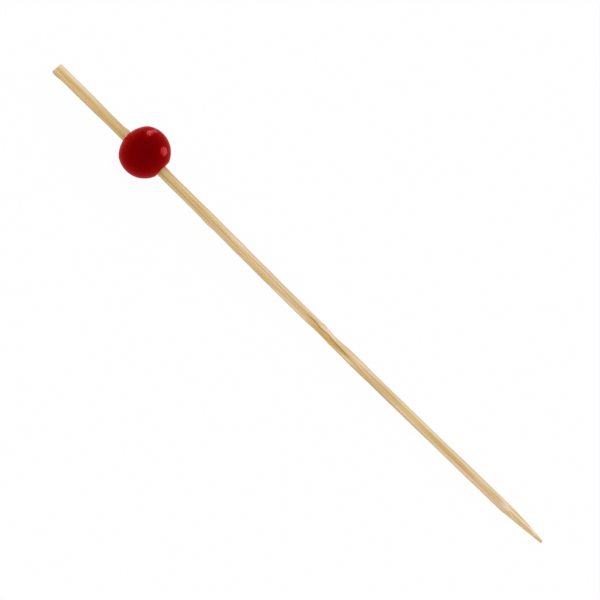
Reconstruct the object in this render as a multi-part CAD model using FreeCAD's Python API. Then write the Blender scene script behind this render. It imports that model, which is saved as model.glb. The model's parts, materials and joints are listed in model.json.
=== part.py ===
import FreeCAD, Part
import math
import os

# Cocktail pick: a thin, slightly bowed bamboo stick, whittled to a point at one
# end, with a drilled and lacquered wooden ball pushed on near the other end.
# Millimetres. The part lies at rest on z = 0: it touches the surface under the
# ball and where the point begins. +X runs along the stick towards the point,
# +Z is up. The origin is at the middle of the footprint, on the surface.
#
# The pieces are drawn in the stick's own frame first: x is the distance from
# the sawn end, z is up before the stick tips down onto its point, and the side
# that is seen from the front is -Y.

V = FreeCAD.Vector

# Driving sizes

# stick
STICK_LENGTH = 120.0       # sawn end to the end of the point
REAR_D = 1.95              # rod diameter behind the node
FRONT_D = 1.89             # rod diameter in front of the node

# bow of the rod: corners of its centre line, each eased by a tangent arc.
# The x values are distances from the sawn end, the z values are heights.
REAR_END_Z = 0.19
BEND_REAR_X, BEND_REAR_Z = 35.2, 0.10
BEND_MID_X, BEND_MID_Z = 55.2, -0.19
BEND_FRONT_X, BEND_FRONT_Z = 86.2, -0.12
POINT_END_Z = 0.25
BEND_EASE = 6.0            # length of the arc on each side of a corner

# sawn end: flared a little by the saw, and cut out of square
STUB_D = 2.06              # the stub behind the ball is thicker than the rod
STUB_LENGTH = 10.5         # up to its small shoulder
SHOULDER_LENGTH = 1.3
FLARE_D = 2.16
FLARE_LENGTH = 1.9
SAW_ANGLE = 6.0            # degrees out of square, upper edge further forward
SAW_EDGE_R = 0.14

# node of the bamboo
NODE_X = 68.8              # middle of the scar
NODE_REAR = 7.4            # length of the node behind that
NODE_FRONT = 10.8          # and in front of it
NODE_LEAD = 0.5            # straight lead into the node at each end
RIM_D = 1.98               # raised rim behind the scar
RIM_GAP = 3.6
SWELL_D = 2.06             # thickest ring in front of the scar
SWELL_GAP = 4.9
SCAR_DEPTH = 0.27          # hollow across the upper side
SCAR_R = 15.5              # its radius along the stick
SCAR_TURN = -25.0          # degrees from straight up, towards the front
UNDER_DIP_DEPTH = 0.14     # longer, shallower dip on the lower side
UNDER_DIP_R = 26.0
UNDER_DIP_GAP = 3.1        # from the scar back to its middle
UNDER_DIP_TURN = 150.0
LEAF_LINE_D = 0.16         # groove where the leaf sheath was torn off
LEAF_LINE_DEPTH = 0.05
LEAF_LINE_REAR = 6.4       # its length behind and in front of the scar's middle
LEAF_LINE_FRONT = 4.4
LEAF_LINE_TURNS = (49.0, 42.0, 51.0, 46.0, 47.0, 53.0, 56.0, 59.0, 63.0)

# whittled point
POINT_LENGTH = 9.1         # from the first knife cut to the end
POINT_TIP_D = 0.40         # across the blunt end of the point
TOP_CUT_TIP = 0.46         # the flatter cut on top would end this far from the axis
BEVEL_LENGTH = 2.1         # and a second, shorter cut brings it down

# ball
BALL_D = 9.36
BALL_X = 21.58             # centre of the ball
BORE_OFFSET = 0.32         # the hole is drilled below the ball's centre
BORE_CLEARANCE = 0.02      # radial, filled by a film of glue
FRONT_FLAT_D = 3.56        # turned flat where the ball was parted off
REAR_FLATTEN = 0.36        # how much the rear of the ball is flattened
REAR_SEAM_TURN = 53.3      # degrees off the axis at which the flattening starts
REAR_BLEND_R = 3.0

# Centre line of the stick

rear_r = REAR_D / 2.0
front_r = FRONT_D / 2.0
ball_r = BALL_D / 2.0

corner = [V(0, 0, REAR_END_Z), V(BEND_REAR_X, 0, BEND_REAR_Z),
          V(BEND_MID_X, 0, BEND_MID_Z), V(BEND_FRONT_X, 0, BEND_FRONT_Z),
          V(STICK_LENGTH, 0, POINT_END_Z)]
run = [(corner[i + 1] - corner[i]).normalize() for i in range(4)]


def on_run(i, x):
    """Point of run i of the centre line at distance x from the sawn end."""
    return corner[i] + run[i] * ((x - corner[i].x) / run[i].x)


def around(i, turn):
    """Direction square to run i, turned from straight up towards the front."""
    up = V(-run[i].z, 0, run[i].x)
    a = math.radians(turn)
    return up * math.cos(a) + V(0, -1, 0) * math.sin(a)


def lay_on_run(shape, i):
    """Moves a shape drawn about the X axis onto run i, from its first corner."""
    shape.rotate(V(0, 0, 0), V(0, 1, 0), math.degrees(math.atan2(-run[i].z, run[i].x)))
    shape.translate(corner[i])
    return shape


def rod(start, end, radius):
    """Round rod between two points."""
    return Part.makeCylinder(radius, start.distanceToPoint(end), start, end - start)


def bend(i, radius):
    """Round rod along the tangent arc at the corner after run i."""
    start = corner[i + 1] - run[i] * BEND_EASE
    end = corner[i + 1] + run[i + 1] * BEND_EASE
    half_turn = run[i].getAngle(run[i + 1]) / 2.0
    arc_r = BEND_EASE / math.tan(half_turn)
    inward = (run[i + 1] - run[i]).normalize()
    middle = corner[i + 1] + inward * (arc_r / math.cos(half_turn) - arc_r)
    path = Part.Wire([Part.Arc(start, middle, end).toShape()])
    ring = Part.Wire([Part.makeCircle(radius, start, run[i])])
    return path.makePipeShell([ring], True, False)


# Stick

# stub behind the ball: flared sawn end, thicker stub, shoulder, then the rod
stub_end = (corner[1] - corner[0]).Length - BEND_EASE
shoulder_end = STUB_LENGTH + SHOULDER_LENGTH
outline = [V(-FLARE_LENGTH, 0, 0), V(-FLARE_LENGTH, 0, FLARE_D / 2.0),
           V(0, 0, FLARE_D / 2.0), V(FLARE_LENGTH, 0, STUB_D / 2.0),
           V(STUB_LENGTH, 0, STUB_D / 2.0), V(shoulder_end, 0, rear_r),
           V(stub_end, 0, rear_r), V(stub_end, 0, 0), V(-FLARE_LENGTH, 0, 0)]
stub = Part.Face(Part.makePolygon(outline)).revolve(V(0, 0, 0), V(1, 0, 0), 360)

# the saw cut leans, and its edge is worn round
saw_size = 4 * FLARE_D
saw = Part.makeBox(saw_size, saw_size, saw_size,
                   V(-saw_size, -saw_size / 2.0, -saw_size / 2.0))
saw.rotate(V(0, 0, 0), V(0, 1, 0), SAW_ANGLE)
stub = stub.cut(saw)
sawn_face = min(stub.Faces, key=lambda f: f.CenterOfMass.x)
stub = stub.makeFillet(SAW_EDGE_R, sawn_face.Edges)
stub = lay_on_run(stub, 0)

# node: raised rim, waist and swelling in one smooth skin along its run
node_start = NODE_X - NODE_REAR
node_end = NODE_X + NODE_FRONT
swell_x = NODE_X + SWELL_GAP
stations = [(node_start, rear_r), (node_start + NODE_LEAD, rear_r),
            (NODE_X - RIM_GAP, RIM_D / 2.0), (NODE_X, rear_r),
            (swell_x, SWELL_D / 2.0),
            ((swell_x + node_end) / 2.0, (SWELL_D / 2.0 + front_r) / 2.0),
            (node_end - NODE_LEAD, front_r), (node_end, front_r)]
node = Part.makeLoft([Part.Wire([Part.makeCircle(r, on_run(2, x), run[2])])
                      for x, r in stations], True, False)

# the whole rod, run by run
pieces = [stub, bend(0, rear_r),
          rod(corner[1] + run[1] * BEND_EASE, corner[2] - run[1] * BEND_EASE, rear_r),
          bend(1, rear_r),
          rod(corner[2] + run[2] * BEND_EASE, on_run(2, node_start), rear_r),
          node,
          rod(on_run(2, node_end), corner[3] - run[2] * BEND_EASE, front_r),
          bend(2, front_r),
          rod(corner[3] + run[3] * BEND_EASE, corner[4], front_r)]
stick = pieces[0].fuse(pieces[1:])


def hollow(x, turn, depth, radius):
    """Roller lying across the stick that dips into it by a depth at x."""
    out = around(2, turn)
    across = run[2].cross(out)
    width = 4 * SWELL_D
    middle = on_run(2, x) + out * (rear_r - depth + radius)
    return Part.makeCylinder(radius, width, middle - across * (width / 2.0), across)


# scar of the node, and the dip on its other side
stick = stick.cut(hollow(NODE_X, SCAR_TURN, SCAR_DEPTH, SCAR_R))
stick = stick.cut(hollow(NODE_X - UNDER_DIP_GAP, UNDER_DIP_TURN, UNDER_DIP_DEPTH,
                         UNDER_DIP_R))

# leaf line: a fine wavy groove in front of the scar, at evenly spaced turns
line_step = (LEAF_LINE_REAR + LEAF_LINE_FRONT) / (len(LEAF_LINE_TURNS) - 1)
line_x = [NODE_X - LEAF_LINE_REAR + line_step * i for i in range(len(LEAF_LINE_TURNS))]
line_r = rear_r + LEAF_LINE_D / 2.0 - LEAF_LINE_DEPTH
curve = Part.BSplineCurve()
curve.interpolate([on_run(2, x) + around(2, turn) * line_r
                   for x, turn in zip(line_x, LEAF_LINE_TURNS)])
line_path = Part.Wire([curve.toShape()])
line_ring = Part.Wire([Part.makeCircle(LEAF_LINE_D / 2.0, curve.value(0), curve.tangent(0)[0])])
stick = stick.cut(line_path.makePipeShell([line_ring], True, False))

# whittled point: flat knife cuts round the stick, each with its own start and
# its own depth at the end, so that the ridges run unevenly as on a hand-cut point
tip_r = POINT_TIP_D / 2.0
TOP_CUT = (-35.0, 1.0, TOP_CUT_TIP)
knife_cuts = [             # turn from straight up, start, distance off the axis at the end
    (145.0, 0.1, tip_r * 0.96),
    (190.0, 0.6, tip_r * 1.02),
    (235.0, 0.3, tip_r * 0.94),
    (282.0, 0.0, tip_r * 1.04),
    TOP_CUT,
    (10.0, 0.2, tip_r * 1.10),
    (55.0, 0.7, tip_r * 1.00),
    (100.0, 0.0, tip_r * 1.06)]


def knife(turn, start_x, end_off, end_x=STICK_LENGTH, start_off=front_r):
    """Slab whose lower face cuts from start_off down to end_off off the axis."""
    out = around(3, turn)
    start = on_run(3, start_x) + out * start_off
    end = on_run(3, end_x) + out * end_off
    along = (end - start).normalize()
    side = run[3].cross(out).normalize()
    rear = start - along * POINT_LENGTH - side * FRONT_D
    front = start + along * 2 * POINT_LENGTH - side * FRONT_D
    width = side * 2 * FRONT_D
    face = Part.Face(Part.makePolygon([rear, front, front + width, rear + width, rear]))
    return face.extrude(side.cross(along) * 2 * FRONT_D)


cut_start = STICK_LENGTH - POINT_LENGTH
for turn, later, end_off in knife_cuts:
    stick = stick.cut(knife(turn, cut_start + later, end_off))

# second short cut that brings the flatter top cut down to the blunt end
top_turn, top_later, top_end = TOP_CUT
bevel_x = STICK_LENGTH - BEVEL_LENGTH
top_slope = (front_r - top_end) / (POINT_LENGTH - top_later)
bevel_off = top_end + top_slope * BEVEL_LENGTH
stick = stick.cut(knife(top_turn, bevel_x, tip_r, start_off=bevel_off))
stick = stick.removeSplitter()

# Ball

# turned profile: sphere, flat at the front, softly flattened rear
flat_r = FRONT_FLAT_D / 2.0
flat_x = math.sqrt(ball_r ** 2 - flat_r ** 2)
rear_x = -(ball_r - REAR_FLATTEN)
seam_x = -ball_r * math.cos(math.radians(REAR_SEAM_TURN))
seam_r = ball_r * math.sin(math.radians(REAR_SEAM_TURN))
cap_r = (seam_r ** 2 + (seam_x - rear_x) ** 2) / (2 * (seam_x - rear_x))
cap_x = rear_x + cap_r
cap_turn = math.atan2(seam_r, cap_x - seam_x) / 2.0
rear_arc = Part.Arc(V(rear_x, 0, 0),
                    V(cap_x - cap_r * math.cos(cap_turn), 0, cap_r * math.sin(cap_turn)),
                    V(seam_x, 0, seam_r)).toShape()
ball_arc = Part.Arc(V(seam_x, 0, seam_r), V(0, 0, ball_r), V(flat_x, 0, flat_r)).toShape()
front_line = Part.makeLine(V(flat_x, 0, flat_r), V(flat_x, 0, 0))
centre_line = Part.makeLine(V(flat_x, 0, 0), V(rear_x, 0, 0))
ball = Part.Face(Part.Wire([rear_arc, ball_arc, front_line, centre_line]))
ball = ball.revolve(V(0, 0, 0), V(1, 0, 0), 360)
rear_edge = [e for e in ball.Edges if not e.Degenerated
             and abs(e.BoundBox.XMax - seam_x) < 1e-3 and e.BoundBox.XLength < 1e-3]
ball = ball.makeFillet(REAR_BLEND_R, rear_edge)
bore = Part.makeCylinder(rear_r + BORE_CLEARANCE, 2 * BALL_D,
                         V(-BALL_D, 0, -BORE_OFFSET), V(1, 0, 0))
ball = ball.cut(bore)
ball.translate(V(BALL_X, 0, BORE_OFFSET))
ball = lay_on_run(ball, 0)
ball_centre = on_run(0, 0) + run[0] * BALL_X + around(0, 0) * BORE_OFFSET

# Rest: the stick tips down about the ball until it touches the same surface


def dip(point, angle):
    """Height of a point once the part has turned tip-down by an angle."""
    return point.z * math.cos(angle) - point.x * math.sin(angle)


point_corners = [v.Point for v in stick.Vertexes if v.X > cut_start]
low, high = 0.0, 0.5
for _ in range(60):
    angle = (low + high) / 2.0
    if min(dip(p, angle) for p in point_corners) > dip(ball_centre, angle) - ball_r:
        low = angle
    else:
        high = angle
tilt = math.degrees(angle)
surface_z = dip(ball_centre, angle) - ball_r

for shape in (stick, ball):
    shape.rotate(V(0, 0, 0), V(0, 1, 0), tilt)
box = stick.optimalBoundingBox(False, False)
shift = V(-(box.XMin + box.XMax) / 2.0, 0, -surface_z)
for shape in (stick, ball):
    shape.translate(shift)

# Export

os.makedirs("parts", exist_ok=True)
for name, shape in (("stick", stick), ("bead", ball)):
    solid = shape.Solids[0]
    solid.exportStep("parts/" + name + ".step")
    b = solid.optimalBoundingBox(False, False)
    print(name, "valid", solid.isValid(), "solids", len(shape.Solids),
          "volume %.2f" % solid.Volume, "faces", len(solid.Faces),
          "x %.2f..%.2f y %.2f..%.2f z %.3f..%.3f"
          % (b.XMin, b.XMax, b.YMin, b.YMax, b.ZMin, b.ZMax))
print("tilt %.3f deg, overlap of ball and stick %.5f mm3"
      % (tilt, ball.common(stick).Volume))
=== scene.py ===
import json
import math

import bpy
from mathutils import Matrix, Vector


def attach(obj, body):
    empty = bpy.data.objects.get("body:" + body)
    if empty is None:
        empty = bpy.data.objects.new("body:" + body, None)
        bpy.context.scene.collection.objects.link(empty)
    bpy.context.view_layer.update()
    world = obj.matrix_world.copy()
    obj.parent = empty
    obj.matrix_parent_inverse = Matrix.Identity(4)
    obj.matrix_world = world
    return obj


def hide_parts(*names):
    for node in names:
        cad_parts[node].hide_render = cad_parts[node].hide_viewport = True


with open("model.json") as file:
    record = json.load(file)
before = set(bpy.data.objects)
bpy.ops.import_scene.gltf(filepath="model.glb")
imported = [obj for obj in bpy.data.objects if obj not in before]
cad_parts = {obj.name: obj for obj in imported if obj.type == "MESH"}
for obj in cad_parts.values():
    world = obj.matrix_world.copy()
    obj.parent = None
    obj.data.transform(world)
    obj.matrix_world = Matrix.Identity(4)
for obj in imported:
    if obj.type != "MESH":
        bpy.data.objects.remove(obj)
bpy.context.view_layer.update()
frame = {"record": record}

# Stick
# One split of bamboo with a node, rounded unevenly, sawn off behind the ball and whittled by
# hand to the point. It is drawn along X from its sawn end, then laid down as the pick rests.
MM = 0.001
STICK_LENGTH = 120.0 * MM
REAR_END_RISE = 0.19 * MM
BENDS = ((35.2 * MM, 0.10 * MM), (55.2 * MM, -0.19 * MM), (86.2 * MM, -0.12 * MM),
         (STICK_LENGTH, 0.25 * MM))
BEND_EASE = 6.0 * MM
NODE_X = 68.8 * MM
STICK_R = 0.97 * MM
STICK_WIDTHS = (           # place along the stick and diameter, in millimetres
    (-3.0, 2.20), (0.0, 2.17), (1.9, 2.06), (10.5, 2.06), (11.8, 1.95), (61.4, 1.95),
    (65.2, 1.98), (68.8, 1.95), (72.4, 1.98), (73.7, 2.06), (79.6, 1.89), (122.0, 1.89))
SWELLS = (                 # place, half a length and height, in millimetres
    (5.9, 1.6, 0.02), (37.8, 1.8, 0.03), (40.0, 18.0, 0.02), (45.1, 1.5, 0.05),
    (52.0, 1.5, 0.04), (82.0, 2.5, 0.03), (100.0, 4.0, 0.03))
STICK_SIDES = 32
RING_STEP = 1.25 * MM
CAGE_SWELL = 3 / (2 + math.cos(2 * math.pi / STICK_SIDES))

BALL_D = 9.36 * MM
FLAT_D = 3.56 * MM
BALL_X = 21.58 * MM
BORE_DROP = 0.32 * MM

rear_slope = (BENDS[0][1] - REAR_END_RISE) / BENDS[0][0]
slopes = [rear_slope] + [(b[1] - a[1]) / (b[0] - a[0]) for a, b in zip(BENDS, BENDS[1:])]
slope_changes = [after - before for before, after in zip(slopes, slopes[1:])]


def rise_at(x):
    """Height of the stick's centre line at x, with its bends eased."""
    rise = REAR_END_RISE + rear_slope * x
    for (bend_x, _), change in zip(BENDS, slope_changes):
        eased = min(max(x - bend_x + BEND_EASE, 0), 2 * BEND_EASE)
        rise += change * (eased ** 2 / (4 * BEND_EASE) + max(x - bend_x - BEND_EASE, 0))
    return rise


def soften(share):
    """A share from 0 to 1 that starts and ends gently."""
    return share * share * (3 - 2 * share)


def radius_at(x):
    """Radius of the stick at x, between its named widths and with its swells."""
    x = x / MM
    for (x_a, d_a), (x_b, d_b) in zip(STICK_WIDTHS, STICK_WIDTHS[1:]):
        if x <= x_b:
            break
    diameter = d_a + (d_b - d_a) * soften((x - x_a) / (x_b - x_a))
    swell = sum(height * math.exp(-((x - at) / length) ** 2) for at, length, height in SWELLS)
    return (diameter / 2 + swell) * MM


stop = next(m for m in frame["record"]["mounts"] if m["name"] == "garnish_stop")
stop_axis = Vector(stop["axis"])
ball_r = BALL_D / 2
flat_off = math.sqrt(ball_r ** 2 - (FLAT_D / 2) ** 2)
ball_place = Vector((stop["pos_m"][0], 0, stop["pos_m"][2])) - stop_axis * flat_off
ball_turn = math.atan2(-stop_axis.z, stop_axis.x)
stick_turn = ball_turn + math.atan(rear_slope)
rear_way = Vector((1, 0, rear_slope)).normalized()
rear_up = Vector((-rear_way.z, 0, rear_way.x))
ball_on_stick = Vector((0, 0, REAR_END_RISE)) + rear_way * BALL_X + rear_up * BORE_DROP
lay_down = Matrix.Rotation(stick_turn, 3, "Y")
stick_place = ball_place - lay_down @ ball_on_stick


def pick_only(piece):
    """Selects one object and makes it active."""
    bpy.ops.object.select_all(action="DESELECT")
    piece.select_set(True)
    bpy.context.view_layer.objects.active = piece


def apply_all(piece):
    """Applies the modifiers of a piece, in order."""
    pick_only(piece)
    for modifier in list(piece.modifiers):
        bpy.ops.object.modifier_apply(modifier=modifier.name)


def settle(piece, turn, place):
    """Lays a finished piece down and applies its place."""
    pick_only(piece)
    piece.rotation_euler = (0, turn, 0)
    piece.location = place
    bpy.ops.object.transform_apply(location=True, rotation=True, scale=True)


ring_x = STICK_WIDTHS[0][0] * MM
ring_r = radius_at(ring_x)
bpy.ops.object.select_all(action="DESELECT")
bpy.ops.mesh.primitive_circle_add(vertices=STICK_SIDES, radius=ring_r * CAGE_SWELL,
                                  fill_type="NGON", location=(ring_x, 0, rise_at(ring_x)),
                                  rotation=(0, math.pi / 2, 0))
bpy.ops.object.transform_apply(location=True, rotation=True, scale=True)
stick = bpy.context.object
stick.name = "bamboo_stick"
bpy.ops.object.mode_set(mode="EDIT")
bpy.ops.mesh.select_all(action="SELECT")
while ring_x < STICK_WIDTHS[-1][0] * MM:
    x = ring_x + RING_STEP
    lift = rise_at(x) - rise_at(ring_x)
    grow = radius_at(x) / ring_r
    bpy.ops.mesh.extrude_region_move(TRANSFORM_OT_translate={"value": (RING_STEP, 0, lift)})
    bpy.ops.transform.resize(value=(grow, grow, grow), center_override=(x, 0, rise_at(x)))
    ring_x, ring_r = x, radius_at(x)
bpy.ops.mesh.select_all(action="SELECT")
bpy.ops.mesh.normals_make_consistent(inside=False)
bpy.ops.object.mode_set(mode="OBJECT")
rounding = stick.modifiers.new("rounding", "SUBSURF")
rounding.levels = 2
rounding.render_levels = 2


def fibre_relief(name, along, across, height, shift):
    """Raises lengthwise fibres with a cloud pattern, shifted and stretched along X."""
    pattern = bpy.data.textures.new(name, "CLOUDS")
    pattern.noise_scale = 1.0
    pattern.noise_depth = 1
    bpy.ops.object.empty_add(location=(shift, 0, 0))
    ruler = bpy.context.object
    ruler.scale = (along, across, across)
    relief = stick.modifiers.new(name, "DISPLACE")
    relief.texture = pattern
    relief.texture_coords = "OBJECT"
    relief.texture_coords_object = ruler
    relief.strength = height
    relief.mid_level = 0.5
    return ruler


rulers = [fibre_relief("flats", 26 * MM, 0.9 * MM, 0.07 * MM, 7 * MM),
          fibre_relief("fibres", 30 * MM, 0.36 * MM, 0.020 * MM, 31 * MM)]
bpy.context.view_layer.update()
apply_all(stick)
for ruler in rulers:
    bpy.data.objects.remove(ruler)


def out_way(turn):
    """Direction out of the stick, turned in degrees from straight up to the front."""
    return Vector((0, -math.sin(math.radians(turn)), math.cos(math.radians(turn))))


def from_centre(point):
    """The way from the stick's centre line to a point."""
    return Vector((0, point.y, point.z - rise_at(point.x)))


MARK_REACH = 3             # half lengths at which a mark on the stick has faded away


def nearness(point, x, turn, length, width):
    """1 at a place on the stick, falling off softly along and across it."""
    along = (point.x / MM - x) / length
    if abs(along) > MARK_REACH:
        return 0.0
    across = from_centre(point).angle(out_way(turn), 0) * STICK_R / MM / width
    return math.exp(-along ** 2 - across ** 2)


def press(marks):
    """Presses soft dents in the stick: x, turn, length, width and depth of each."""
    for v in stick.data.vertices:
        deep = sum(nearness(v.co, *mark[:4]) * mark[4] for mark in marks)
        if deep:
            v.co -= from_centre(v.co).normalized() * deep * MM


def roll_in(x, turn, depth, hollow_r):
    """Presses a hollow of a large radius across the stick."""
    out = out_way(turn)
    for v in stick.data.vertices:
        away = v.co.x - x
        if abs(away) < hollow_r / 2:
            floor = STICK_R - depth + hollow_r - math.sqrt(hollow_r ** 2 - away ** 2)
            over = from_centre(v.co).dot(out) - floor
            if over > 0:
                v.co -= out * over


NODE_SCAR = (-25.0, 0.27 * MM, 15.5 * MM)
NODE_WAIST = (150.0, 0.14 * MM, 26.0 * MM)
WAIST_BEHIND = 3.1 * MM
NICKS_BELOW = ((36.8, 143, 0.4, 0.3, 0.06), (39.7, 143, 0.4, 0.3, 0.05),
               (67.6, 143, 0.3, 0.25, 0.06))
BULGE_BELOW = (38.3, 145, 1.4, 0.6, -0.07)
REAR_LIP = (16.75, -38, 0.55, 0.8, -0.18)
FRONT_LIP = (26.4, -35, 1.0, 0.6, -0.10)
SAW_BURR = (0.9, 146, 0.9, 0.35, -0.11)
NODE_BUMP = (65.8, -32, 0.8, 0.6, -0.06)
roll_in(NODE_X, *NODE_SCAR)
roll_in(NODE_X - WAIST_BEHIND, *NODE_WAIST)
press(NICKS_BELOW + (BULGE_BELOW, REAR_LIP, SAW_BURR, FRONT_LIP, NODE_BUMP))

# The leaf line is pressed in as a shallow groove. Further down, the dark paint along it is
# partly its own colour and partly painted shade in the groove.
LEAF_WIDTH = 0.07
LEAF_FADE = 1.5
LEAF_DEPTH = 0.05
LEAF_LINE = ((61.8, 48), (63.0, 45), (63.8, 42), (64.5, 44), (65.2, 52), (65.7, 53),
             (66.4, 48), (67.1, 44), (67.7, 45), (68.3, 54), (69.2, 57), (70.6, 59),
             (73.3, 63))


def line_turn(x, line):
    """Turn of a line on the stick at x, or None beyond its ends."""
    for (x_a, turn_a), (x_b, turn_b) in zip(line, line[1:]):
        if x_a <= x <= x_b:
            return turn_a + (turn_b - turn_a) * soften((x - x_a) / (x_b - x_a))
    return None


def on_line(point, line, width, end_fade):
    """1 on a line that is drawn on the stick, falling off softly beside it."""
    x = point.x / MM
    turn = line_turn(x, line)
    if turn is None:
        return 0.0
    across = from_centre(point).angle(out_way(turn), 0) * STICK_R / MM / width
    fade = min(1.0, (x - line[0][0]) / end_fade, (line[-1][0] - x) / end_fade)
    return math.exp(-across ** 2) * fade


for v in stick.data.vertices:
    deep = on_line(v.co, LEAF_LINE, LEAF_WIDTH, LEAF_FADE) * LEAF_DEPTH * MM
    if deep:
        v.co -= from_centre(v.co).normalized() * deep

STICK_CREASE = math.radians(24)
SAW_LEAN = math.radians(6)
SAW_EDGE_R = 0.14 * MM
SAW_EDGE_RINGS = (0.12, 0.35, 0.65, 1.0)
POINT_LENGTH = 9.1 * MM
FRONT_R = 0.945 * MM
TIP_R = 0.20 * MM
BEVEL_LENGTH = 2.1 * MM
SLICE_STEP = 0.4 * MM
POINT_EDGES = 12
FIRST_EDGE_TURN = 4
BLANK_WIDTH = 6.0 * MM
BLANK_SPARE = 1.1
TOP_CUT = (-35.0, 1.0 * MM, 0.46 * MM)
KNIFE_CUTS = (             # turn, start after the point begins, end off the axis
    (145.0, 0.1 * MM, 0.192 * MM), (190.0, 0.6 * MM, 0.204 * MM),
    (235.0, 0.3 * MM, 0.188 * MM), (282.0, 0.0 * MM, 0.208 * MM), TOP_CUT,
    (10.0, 0.2 * MM, 0.220 * MM), (55.0, 0.7 * MM, 0.200 * MM), (100.0, 0.0, 0.212 * MM))

tip_place = Vector((STICK_LENGTH, 0, BENDS[-1][1]))
front_way = Vector((1, 0, slopes[-1])).normalized()
saw_way = Vector((-math.cos(SAW_LEAN), 0, math.sin(SAW_LEAN)))
saw_place = Vector((0, 0, REAR_END_RISE))


def cut_off(point, way):
    """Cuts away what lies beyond a plane and closes the cut."""
    bpy.ops.mesh.select_all(action="SELECT")
    bpy.ops.mesh.bisect(plane_co=point, plane_no=way, use_fill=True, clear_outer=True)


def whittle(turn, start_x, start_off, end_off):
    """One flat knife cut, from its start on the stick to the end of the point."""
    out = out_way(turn)
    out = (out - front_way * out.dot(front_way)).normalized()
    start = tip_place - front_way * ((STICK_LENGTH - start_x) / front_way.x) + out * start_off
    end = tip_place + out * end_off
    way = (end - start).normalized()
    cut_off(start, out - way * out.dot(way))


bpy.ops.object.select_all(action="DESELECT")
bpy.ops.mesh.primitive_cube_add(size=BLANK_WIDTH, location=(STICK_LENGTH / 2, 0, 0))
blank = bpy.context.object
blank.scale = (STICK_LENGTH * BLANK_SPARE / BLANK_WIDTH, 1, 1)
bpy.ops.object.transform_apply(location=True, rotation=True, scale=True)
bpy.ops.object.mode_set(mode="EDIT")
cut_off(saw_place, saw_way)
cut_off(tip_place, front_way)
for turn, later, end_off in KNIFE_CUTS:
    whittle(turn, STICK_LENGTH - POINT_LENGTH + later, FRONT_R, end_off)
top_turn, top_later, top_end = TOP_CUT
top_slope = (FRONT_R - top_end) / (POINT_LENGTH - top_later)
whittle(top_turn, STICK_LENGTH - BEVEL_LENGTH, top_end + top_slope * BEVEL_LENGTH, TIP_R)
bpy.ops.object.mode_set(mode="OBJECT")
cutting = stick.modifiers.new("cuts", "BOOLEAN")
cutting.operation = "INTERSECT"
cutting.object = blank
apply_all(stick)
bpy.data.objects.remove(blank)


def ring_in(point, way):
    """Adds a ring of edges where a plane passes through the stick."""
    bpy.ops.mesh.select_all(action="SELECT")
    bpy.ops.mesh.bisect(plane_co=point, plane_no=way)


def edge_along(turn, first_x):
    """Adds edges along the point, where a plane through its middle passes."""
    way = out_way(turn)
    bpy.ops.mesh.select_all(action="DESELECT")
    bpy.ops.object.mode_set(mode="OBJECT")
    for v in stick.data.vertices:
        v.select = v.co.x > first_x
    bpy.ops.object.mode_set(mode="EDIT")
    bpy.ops.mesh.select_mode(type="VERT")
    bpy.ops.mesh.bisect(plane_co=tip_place, plane_no=way - front_way * way.dot(front_way))


pick_only(stick)
bpy.ops.object.mode_set(mode="EDIT")
for number in range(1, int(POINT_LENGTH / SLICE_STEP)):
    ring_in(tip_place - front_way * (number * SLICE_STEP), front_way)
for number in range(POINT_EDGES):
    edge_along(FIRST_EDGE_TURN + 180 / POINT_EDGES * number,
               STICK_LENGTH - POINT_LENGTH - SLICE_STEP)
for share in SAW_EDGE_RINGS:
    ring_in(saw_place - saw_way * (share * SAW_EDGE_R), saw_way)
bpy.ops.object.mode_set(mode="OBJECT")
for v in stick.data.vertices:
    depth = max((saw_place - v.co).dot(saw_way), 0)
    spoke = from_centre(v.co)
    if depth < SAW_EDGE_R and spoke.length > STICK_R / 2:
        inward = SAW_EDGE_R - math.sqrt(SAW_EDGE_R ** 2 - (SAW_EDGE_R - depth) ** 2)
        v.co -= spoke.normalized() * inward
bpy.ops.object.shade_smooth_by_angle(angle=STICK_CREASE)

grain = stick.data.attributes.new("grain", "FLOAT_VECTOR", "POINT")
for v, value in zip(stick.data.vertices, grain.data):
    value.vector = (v.co.x / MM, v.co.y / MM, (v.co.z - rise_at(v.co.x)) / MM)


def paint(name, strokes, lines=()):
    """Paints soft strokes and lines on the stick as an attribute of its own."""
    layer = stick.data.attributes.new(name, "FLOAT", "POINT")
    for v, value in zip(stick.data.vertices, layer.data):
        amount = sum(nearness(v.co, *stroke[:4]) * stroke[4] for stroke in strokes
                     if abs(v.co.x - stroke[0] * MM) < MARK_REACH * stroke[2] * MM)
        amount += sum(on_line(v.co, line, width, fade) * strength
                      for line, width, fade, strength in lines)
        value.value = amount


# The first line is a painted highlight along a ridge of the point, and the second is painted
# shade beside it.
POINT_HIGHLIGHT = ((110.9, 40), (113.0, 35), (115.0, 22), (116.2, 16))
POINT_SHADE = ((112.0, 8), (113.2, 0), (114.4, -22), (115.2, -34))
POINT_EDGE = ((111.4, 53), (113.0, 50), (114.6, 46))
POINT_STAIN = ((113.8, 64), (114.9, 58), (116.1, 38), (117.8, 30))
NODE_FIBRE = ((74.6, 45), (78.0, 42), (82.4, 39), (85.0, 38))
LONG_FIBRE = ((79.0, 42), (82.4, 39), (88.0, 37), (94.0, 39))

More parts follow.
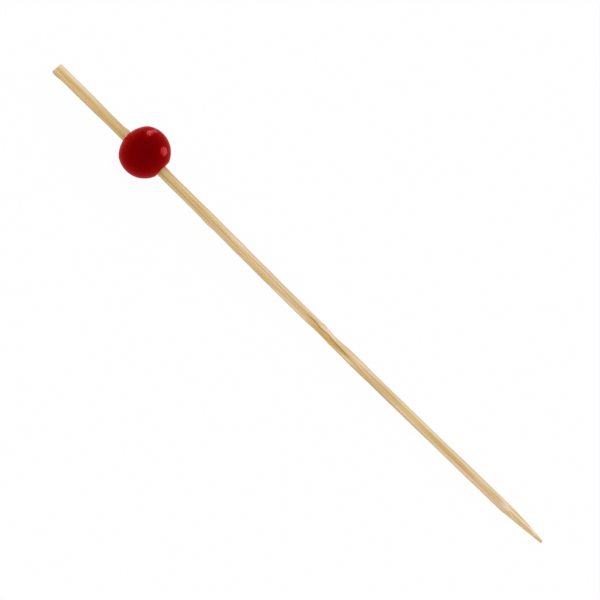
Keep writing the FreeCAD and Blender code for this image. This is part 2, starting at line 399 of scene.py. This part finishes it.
# Each stroke is a place along the stick, a turn, half a length, half a width and a strength,
# and each line its places, half a width, the length in which its ends fade and a strength
paint("ochre", (
    (68.6, 76, 3.0, 0.40, 0.7), (65.0, 80, 2.4, 0.36, 1.0), (71.0, 74, 2.4, 0.30, 0.8),
    (67.4, 98, 2.2, 0.22, 0.7), (5.0, 56, 5.0, 0.30, 0.4), (7.0, 62, 4.5, 0.13, 0.4),
    (8.0, 98, 8.0, 0.40, 0.5), (9.0, 76, 5.0, 0.16, 0.4), (16.6, 62, 1.0, 0.60, 0.5),
    (8.0, 37, 9.0, 0.26, 0.7), (3.0, 92, 3.0, 0.16, 0.4), (14.6, 77, 3.4, 0.11, 0.7),
    (33.0, 48, 6.0, 0.15, 0.8), (83.0, 50, 6.0, 0.32, 0.45), (99.0, 97, 5.0, 0.22, 0.25),
    (42.5, 60, 5.0, 0.14, 0.7), (46.5, 40, 4.0, 0.10, 0.6), (53.5, 78, 5.5, 0.10, 0.8),
    (78.0, 80, 3.5, 0.14, 0.5), (96.5, 46, 4.5, 0.20, 0.5), (99.0, 66, 5.0, 0.12, 0.6),
    (106.0, 74, 4.5, 0.16, 0.6), (116.2, 70, 1.2, 0.12, 0.5)),
    ((POINT_STAIN, 0.13, 0.8, 1.6), (POINT_EDGE, 0.07, 0.6, 1.0)))
# The yellow layer also carries the painted shade beside the ridge of the point.
paint("yellow", (
    (14.0, 26, 4.0, 0.11, 1.2), (14.2, 92, 3.6, 0.12, 1.0), (11.0, 53, 6.0, 0.12, 0.3),
    (62.6, 46, 1.2, 0.11, 1.0), (72.0, 61, 1.8, 0.12, 1.0), (65.8, -20, 0.7, 0.40, 0.5),
    (94.5, 44, 4.0, 0.13, 0.9), (112.4, 88, 2.0, 0.18, 0.5),
    (119.5, 50, 1.0, 1.00, 0.8), (58.5, 60, 5.0, 0.12, 0.5), (1.6, 95, 2.2, 0.16, 0.6)),
    ((POINT_SHADE, 0.08, 0.6, 0.9), (LONG_FIBRE, 0.07, 2.0, 1.1)))
# The rosy layer also carries the painted highlight along the ridge of the point.
paint("rosy", (
    (67.0, 18, 2.2, 0.36, 0.9), (72.4, 94, 1.6, 0.26, 1.2), (16.9, 20, 0.6, 0.50, 0.5),
    (43.0, 18, 5.0, 0.25, 0.4), (9.0, 30, 6.0, 0.30, 0.5), (86.0, 86, 4.0, 0.20, 0.8),
    (90.0, 10, 7.0, 0.30, 0.6), (100.0, 100, 5.0, 0.25, 0.6), (104.0, 10, 5.0, 0.25, 0.5),
    (110.8, 40, 0.8, 0.80, 0.6), (117.6, -14, 1.0, 0.35, 1.1), (40.0, 96, 6.0, 0.26, 0.4),
    (116.6, 24, 2.2, 0.45, 1.0), (67.4, 38, 2.6, 0.20, 0.5),
    (75.6, 17, 3.8, 0.36, 0.65)),
    ((POINT_HIGHLIGHT, 0.10, 0.6, 1.5),))
# Along the leaf line, the dark layer is partly the line's own colour and partly painted shade
# in its groove.
paint("dark", (
    (0.6, 132, 0.9, 0.18, 1.0), (2.6, 136, 1.6, 0.12, 0.6), (36.8, 134, 0.5, 0.18, 0.9),
    (39.7, 134, 0.5, 0.18, 0.8), (67.6, 134, 0.2, 0.16, 0.9), (63.2, -20, 1.2, 0.08, 0.6),
    (33.0, -25, 4.0, 0.07, 0.5), (14.2, 52, 3.4, 0.10, 0.45), (53.0, 54, 5.0, 0.20, 0.18),
    (100.0, 67, 3.0, 0.08, 0.6), (113.4, -8, 1.4, 0.08, 0.7), (116.8, 104, 1.8, 0.08, 0.5)),
    ((LEAF_LINE, 0.12, 1.6, 1.15), (NODE_FIBRE, 0.06, 1.6, 0.70)))


def math_node(tree, operation, first, second, clamp=False):
    """Adds a math node to a material and returns its output."""
    node = tree.nodes.new("ShaderNodeMath")
    node.operation = operation
    node.use_clamp = clamp
    for socket, value in zip(node.inputs, (first, second)):
        if isinstance(value, bpy.types.NodeSocket):
            tree.links.new(value, socket)
        else:
            socket.default_value = value
    return node.outputs[0]


def mix_node(tree, amount, first, second):
    """Adds a colour mix to a material and returns its output."""
    node = tree.nodes.new("ShaderNodeMix")
    node.data_type = "RGBA"
    for socket, value in ((node.inputs[0], amount), (node.inputs[6], first),
                          (node.inputs[7], second)):
        if isinstance(value, bpy.types.NodeSocket):
            tree.links.new(value, socket)
        else:
            socket.default_value = value
    return node.outputs[2]


def range_node(tree, value, low, high):
    """Adds a smooth step from 0 at low to 1 at high and returns its output."""
    node = tree.nodes.new("ShaderNodeMapRange")
    node.interpolation_type = "SMOOTHSTEP"
    node.inputs["From Min"].default_value = low
    node.inputs["From Max"].default_value = high
    tree.links.new(value, node.inputs["Value"])
    return node.outputs[0]


def noise_node(tree, place, scale, detail):
    """Adds a noise texture on stretched coordinates and returns its value."""
    stretch = tree.nodes.new("ShaderNodeVectorMath")
    stretch.operation = "MULTIPLY"
    tree.links.new(place, stretch.inputs[0])
    stretch.inputs[1].default_value = scale
    noise = tree.nodes.new("ShaderNodeTexNoise")
    noise.inputs["Scale"].default_value = 1.0
    noise.inputs["Detail"].default_value = detail
    tree.links.new(stretch.outputs[0], noise.inputs["Vector"])
    return noise.outputs[0]


def bamboo():
    """Dry bamboo: pale and rosy fibres with yellow and ochre streaks and brown lines, painted
    shade in the leaf line's groove, and a painted highlight and painted shade along a ridge of
    the point.
    """
    material = bpy.data.materials.new("bamboo")
    material.use_nodes = True
    tree = material.node_tree
    shader = tree.nodes["Principled BSDF"]

    def attribute(name):
        node = tree.nodes.new("ShaderNodeAttribute")
        node.attribute_name = name
        return node

    place = attribute("grain").outputs["Vector"]
    broad = noise_node(tree, place, (0.030, 1.3, 1.3), 2)
    streak = noise_node(tree, place, (0.040, 2.6, 2.6), 1)
    line = noise_node(tree, place, (0.055, 5.6, 5.6), 1)
    fine = noise_node(tree, place, (0.110, 11.0, 11.0), 1)
    bleach = noise_node(tree, place, (0.060, 3.4, 3.4), 1)

    def layer(under, amount, share, over):
        return mix_node(tree, math_node(tree, "MULTIPLY", amount, share, True), under, over)

    colour = mix_node(tree, range_node(tree, broad, 0.34, 0.66), (0.790, 0.600, 0.385, 1),
                      (0.730, 0.505, 0.250, 1))
    colour = layer(colour, range_node(tree, streak, 0.51, 0.61), 0.64, (0.640, 0.435, 0.140, 1))
    colour = layer(colour, range_node(tree, bleach, 0.53, 0.64), 0.70, (0.870, 0.700, 0.500, 1))
    colour = layer(colour, range_node(tree, line, 0.55, 0.63), 0.55, (0.470, 0.290, 0.100, 1))
    colour = layer(colour, range_node(tree, fine, 0.53, 0.68), 0.22, (0.400, 0.250, 0.100, 1))
    # rosy fibres, and the painted highlight along a ridge of the point
    colour = layer(colour, attribute("rosy").outputs["Fac"], 0.85, (0.920, 0.740, 0.570, 1))
    colour = layer(colour, attribute("ochre").outputs["Fac"], 0.80, (0.610, 0.390, 0.110, 1))
    # yellow streaks, and the painted shade beside that ridge
    colour = layer(colour, attribute("yellow").outputs["Fac"], 0.85, (0.600, 0.450, 0.110, 1))
    # dark marks and lines, with painted shade in the leaf line's groove
    colour = layer(colour, attribute("dark").outputs["Fac"], 0.85, (0.380, 0.210, 0.045, 1))
    tree.links.new(colour, shader.inputs["Base Color"])
    shader.inputs["Roughness"].default_value = 0.55
    shader.inputs["IOR"].default_value = 1.22
    height = math_node(tree, "ADD", line, math_node(tree, "MULTIPLY", fine, 0.5))
    bump = tree.nodes.new("ShaderNodeBump")
    bump.inputs["Strength"].default_value = 0.2
    bump.inputs["Distance"].default_value = 0.02 * MM
    tree.links.new(height, bump.inputs["Height"])
    tree.links.new(bump.outputs[0], shader.inputs["Normal"])
    return material


stick.data.materials.clear()
stick.data.materials.append(bamboo())
settle(stick, stick_turn, stick_place)
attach(stick, "root")
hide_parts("stick")

# Ball
# Turned from a light wood, drilled, and parted off flat on the side that faces
# the point. It has a deep red gloss lacquer and is glued on the stick.
REAR_FLATTEN = 0.36 * MM
REAR_SEAM_TURN = math.radians(53.3)
REAR_SEAM_BLEND = math.radians(5)
FLAT_EDGE_R = 0.06 * MM
BORE_R = 0.995 * MM
MOUTH_EDGE = 0.04 * MM
PROFILE_STEPS = 80
BALL_STEPS = 128
BORE_SIDES = 96
BALL_CREASE = math.radians(35)
MOUTH_CREASE = math.radians(50)
JOIN_LENGTH = 0.002 * MM

rear_x = ball_r - REAR_FLATTEN
seam_x = ball_r * math.cos(REAR_SEAM_TURN)
seam_r = ball_r * math.sin(REAR_SEAM_TURN)
cap_r = (seam_r ** 2 + (rear_x - seam_x) ** 2) / (2 * (rear_x - seam_x))
cap_off = cap_r - rear_x


def ball_reach(turn):
    """How far the ball reaches from its centre, turned from the rear to the front."""
    if abs(turn) >= REAR_SEAM_TURN:
        return ball_r
    across = cap_off * math.sin(turn)
    return math.sqrt(cap_r ** 2 - across ** 2) - cap_off * math.cos(turn)


def soft_reach(turn):
    """The same with the edge of the flatter rear blended over."""
    blend = [turn + REAR_SEAM_BLEND * step / 4 for step in range(-4, 5)]
    return sum(ball_reach(one) for one in blend) / len(blend)


flat_turn = math.pi - math.asin(FLAT_D / 2 / ball_r)
turns = [flat_turn * step / PROFILE_STEPS for step in range(PROFILE_STEPS)]
profile = [(-soft_reach(turn) * math.cos(turn), soft_reach(turn) * math.sin(turn))
           for turn in turns]
profile += [(flat_off - FLAT_EDGE_R * 0.35, FLAT_D / 2 + FLAT_EDGE_R * 0.8),
            (flat_off - FLAT_EDGE_R * 0.08, FLAT_D / 2 + FLAT_EDGE_R * 0.1),
            (flat_off, FLAT_D / 2 - FLAT_EDGE_R), (flat_off, FLAT_D / 4), (flat_off, 0)]

bpy.ops.object.select_all(action="DESELECT")
bpy.ops.mesh.primitive_plane_add(size=MM, location=(0, 0, 0))
ball = bpy.context.object
ball.name = "lacquered_ball"
bpy.ops.object.mode_set(mode="EDIT")
bpy.ops.mesh.select_all(action="SELECT")
bpy.ops.mesh.merge(type="CENTER")
bpy.ops.transform.translate(value=(profile[0][0], 0, profile[0][1]))
for (x_a, r_a), (x_b, r_b) in zip(profile, profile[1:]):
    bpy.ops.mesh.extrude_region_move(
        TRANSFORM_OT_translate={"value": (x_b - x_a, 0, r_b - r_a)})
bpy.ops.mesh.select_all(action="SELECT")
bpy.ops.mesh.spin(steps=BALL_STEPS, angle=2 * math.pi, center=(0, 0, 0), axis=(1, 0, 0))
bpy.ops.mesh.select_all(action="SELECT")
bpy.ops.mesh.remove_doubles(threshold=JOIN_LENGTH)
bpy.ops.mesh.normals_make_consistent(inside=False)
bpy.ops.object.mode_set(mode="OBJECT")

bpy.ops.object.select_all(action="DESELECT")
bpy.ops.mesh.primitive_cylinder_add(vertices=BORE_SIDES, radius=BORE_R, depth=2 * BALL_D,
                                    location=(0, 0, -BORE_DROP),
                                    rotation=(0, math.pi / 2, 0))
drill = bpy.context.object
drilling = ball.modifiers.new("bore", "BOOLEAN")
drilling.operation = "DIFFERENCE"
drilling.object = drill
mouths = ball.modifiers.new("mouths", "BEVEL")
mouths.limit_method = "ANGLE"
mouths.angle_limit = MOUTH_CREASE
mouths.width = MOUTH_EDGE
mouths.segments = 2
apply_all(ball)
bpy.data.objects.remove(drill)
pick_only(ball)
bpy.ops.object.shade_smooth_by_angle(angle=BALL_CREASE)


def red_lacquer():
    """Deep red gloss lacquer, a little uneven in depth."""
    material = bpy.data.materials.new("red_lacquer")
    material.use_nodes = True
    tree = material.node_tree
    shader = tree.nodes["Principled BSDF"]
    place = tree.nodes.new("ShaderNodeTexCoord").outputs["Object"]
    depth = noise_node(tree, place, (260, 900, 900), 3)
    colour = mix_node(tree, range_node(tree, depth, 0.3, 0.7),
                      (0.075, 0.0002, 0.0004, 1), (0.087, 0.0003, 0.0005, 1))
    tree.links.new(colour, shader.inputs["Base Color"])
    shader.inputs["Roughness"].default_value = 0.16
    shader.inputs["IOR"].default_value = 1.095
    shader.inputs["Metallic"].default_value = 0.18
    shader.inputs["Specular Tint"].default_value = (0.5, 0.10, 0.30, 1)
    shader.inputs["Sheen Weight"].default_value = 0.76
    shader.inputs["Sheen Roughness"].default_value = 0.70
    shader.inputs["Sheen Tint"].default_value = (1, 0.0, 0.0, 1)
    return material


ball.data.materials.clear()
ball.data.materials.append(red_lacquer())
settle(ball, ball_turn, ball_place)
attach(ball, "root")
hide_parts("bead")

# Floor and world
# A white sweep. The camera and reflections see it almost as pure white, with a trace of
# the pick's shadow, and all other light meets a plain white matt surface.
FLOOR_SIZE = 8.0
FLOOR_GLOW = 0.965
FLOOR_WHITE = (0.92, 0.92, 0.92, 1)


def seen_or_reflected(tree):
    """1 for the camera's rays and those that gloss and glass send on, else 0."""
    path = tree.nodes.new("ShaderNodeLightPath")
    rays = math_node(tree, "ADD", path.outputs["Is Camera Ray"], path.outputs["Is Glossy Ray"])
    return math_node(tree, "ADD", rays, path.outputs["Is Transmission Ray"], clamp=True)


bpy.ops.object.select_all(action="DESELECT")
bpy.ops.mesh.primitive_plane_add(size=FLOOR_SIZE, location=(0, 0, 0))
floor = bpy.context.object
floor.name = "floor"
floor_white = bpy.data.materials.new("floor_white")
floor_white.use_nodes = True
tree = floor_white.node_tree
tree.nodes.clear()
matt = tree.nodes.new("ShaderNodeBsdfDiffuse")
matt.inputs["Color"].default_value = FLOOR_WHITE
glow = tree.nodes.new("ShaderNodeEmission")
seen = tree.nodes.new("ShaderNodeMixShader")
out = tree.nodes.new("ShaderNodeOutputMaterial")
tree.links.new(math_node(tree, "MULTIPLY", seen_or_reflected(tree), FLOOR_GLOW), seen.inputs[0])
tree.links.new(matt.outputs[0], seen.inputs[1])
tree.links.new(glow.outputs[0], seen.inputs[2])
tree.links.new(seen.outputs[0], out.inputs["Surface"])
floor.data.materials.append(floor_white)

WORLD_LEVEL = 0.97
world = bpy.data.worlds.new("white_room")
bpy.context.scene.world = world
world.use_nodes = True
tree = world.node_tree
back = tree.nodes["Background"]
back.inputs["Color"].default_value = (1, 1, 1, 1)
level = math_node(tree, "MULTIPLY", seen_or_reflected(tree), 1 - WORLD_LEVEL)
tree.links.new(math_node(tree, "ADD", level, WORLD_LEVEL), back.inputs["Strength"])

# Lamps
# Soft windows behind the pick, to the left and right, and the far end of the
# left one. They only add gloss, and the white room gives the rest of the light.
LAMP_DISTANCE = 0.5
LAMPS = (                  # way from the ball, way and degrees of the long side,
                           # degrees of the short side, radiance
    ((-0.480, 0.570, 0.667), (-0.055, -0.769, 0.637), 38, 16, 25.0),
    ((-0.300, 0.870, 0.385), (0.200, 0.430, -0.880), 36, 9, 6.0),
    ((0.690, 0.500, 0.523), (0.106, -0.756, 0.643), 40, 27, 20.5))


def window(way, long_way, long_turn, short_turn, radiance):
    """Adds a soft window that faces the ball."""
    way = Vector(way).normalized()
    long_way = Vector(long_way)
    long_way = (long_way - way * long_way.dot(way)).normalized()
    bpy.ops.object.light_add(type="AREA")
    lamp = bpy.context.object
    turn = Matrix((long_way, way.cross(long_way), way)).transposed()
    lamp.matrix_world = Matrix.Translation(ball_place + way * LAMP_DISTANCE) @ turn.to_4x4()
    lamp.data.shape = "ELLIPSE"
    lamp.data.size = 2 * LAMP_DISTANCE * math.tan(math.radians(long_turn / 2))
    lamp.data.size_y = 2 * LAMP_DISTANCE * math.tan(math.radians(short_turn / 2))
    lamp.data.energy = radiance * math.pi * math.pi / 4 * lamp.data.size * lamp.data.size_y
    lamp.visible_camera = False
    lamp.visible_diffuse = False


for lamp_values in LAMPS:
    window(*lamp_values)

# Camera
# A long lens that looks square onto the stick from the front and above, turned
# so that the stick runs from the upper left to the lower right.
PX_PER_MM = 5.654
IMAGE_PX = 600
STICK_WAY_PX = Vector((0.7143, 0.6998))
MARK_X = 66.17
MARK_PX = Vector((323.29, 330.25))
ELEVATION = math.radians(35)
CAMERA_DISTANCE = 0.74
SENSOR = 36.0

along = lay_down @ Vector((1, 0, 0))
upward = lay_down @ Vector((0, 0, 1))
across = Vector((0, 1, 0)) * math.sin(ELEVATION) + upward * math.cos(ELEVATION)
right = along * STICK_WAY_PX.x + across * STICK_WAY_PX.y
up = across * STICK_WAY_PX.x - along * STICK_WAY_PX.y
away = right.cross(up)
mark = stick_place + lay_down @ (Vector((MARK_X, 0, 0)) * MM)
off_centre = (MARK_PX - Vector((IMAGE_PX / 2, IMAGE_PX / 2))) / PX_PER_MM * MM
middle = mark - right * off_centre.x + up * off_centre.y

camera_data = bpy.data.cameras.new("camera")
camera_data.sensor_width = SENSOR
camera_data.lens = SENSOR * CAMERA_DISTANCE / (IMAGE_PX / PX_PER_MM * MM)
camera = bpy.data.objects.new("camera", camera_data)
bpy.context.collection.objects.link(camera)
turn = Matrix((right, up, away)).transposed()
camera.matrix_world = Matrix.Translation(middle + away * CAMERA_DISTANCE) @ turn.to_4x4()
bpy.context.scene.camera = camera
bpy.context.scene.view_settings.view_transform = "Standard"
